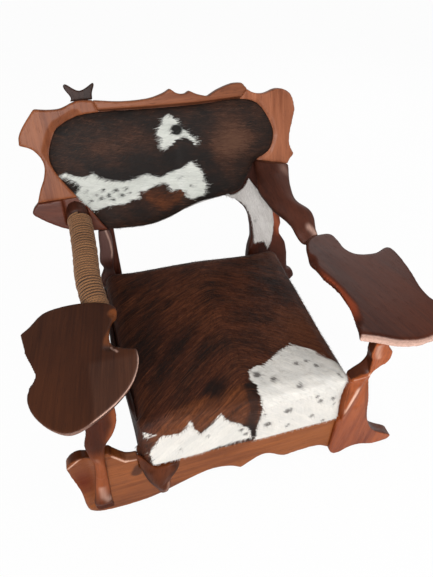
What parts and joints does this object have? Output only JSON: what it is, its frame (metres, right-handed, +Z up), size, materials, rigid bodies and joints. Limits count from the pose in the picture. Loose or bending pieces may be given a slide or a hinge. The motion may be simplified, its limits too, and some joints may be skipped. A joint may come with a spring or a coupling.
{
  "type": "lounge chair",
  "caption": "Sculpted hardwood lounge chair with wavy frame boards, broad kidney-shaped arm plates, cowhide seat and back, and one rope-bound arm rail.",
  "frame": {"origin": "on the floor, under the middle of the chair's bounding box", "axes": "+X to the right seen from the front, +Y to the back, +Z up"},
  "size_m": [1.16, 0.9742, 0.9855],
  "materials": {
    "mahogany": "satin oiled reddish hardwood",
    "mahogany_back": "satin oiled reddish hardwood",
    "mahogany_dark": "satin dark hardwood",
    "frame_wood": "plain sawn hardwood",
    "plywood": "plain plywood",
    "cowhide": "short hair, brown and black with white patches",
    "white_hide": "short white hair",
    "foam": "foam with wadding",
    "webbing": "woven strap",
    "jute": "twisted jute cord",
    "felt": "felt disc"
  },
  "bodies": {
    "root": {"front_board": "mahogany", "front_right_leg": "mahogany", "front_left_post": "mahogany", "seat_corner_leg": "mahogany", "seat_left_board": "mahogany_dark", "left_under_rail": "frame_wood", "right_under_rail": "frame_wood", "rear_cross_rail": "frame_wood", "seat_front_rail": "frame_wood", "seat_rear_rail": "frame_wood", "seat_left_rail": "frame_wood", "seat_right_rail": "frame_wood", "corner_blocks": "frame_wood", "seat_webbing": "webbing", "seat_foam": "foam", "seat_hide": "cowhide", "back_left_stile": "mahogany_back", "back_top_rail": "mahogany_back", "back_right_stile": "mahogany_back", "back_left_wing": "mahogany_back", "back_panel": "plywood", "back_foam": "foam", "back_hide": "cowhide", "back_battens": "frame_wood", "horn_finial": "mahogany_dark", "right_rear_leg": "mahogany_dark", "leg_hide_panel": "white_hide", "left_rear_leg": "mahogany_dark", "left_rear_brace": "mahogany_dark", "left_arm_plate": "mahogany_dark", "right_arm_plate": "mahogany_dark", "right_arm_rail": "mahogany_dark", "left_arm_rail": "mahogany_dark", "rope_winding": "jute", "leg_dowels": "frame_wood", "floor_glides": "felt"}
  },
  "joints": []
}
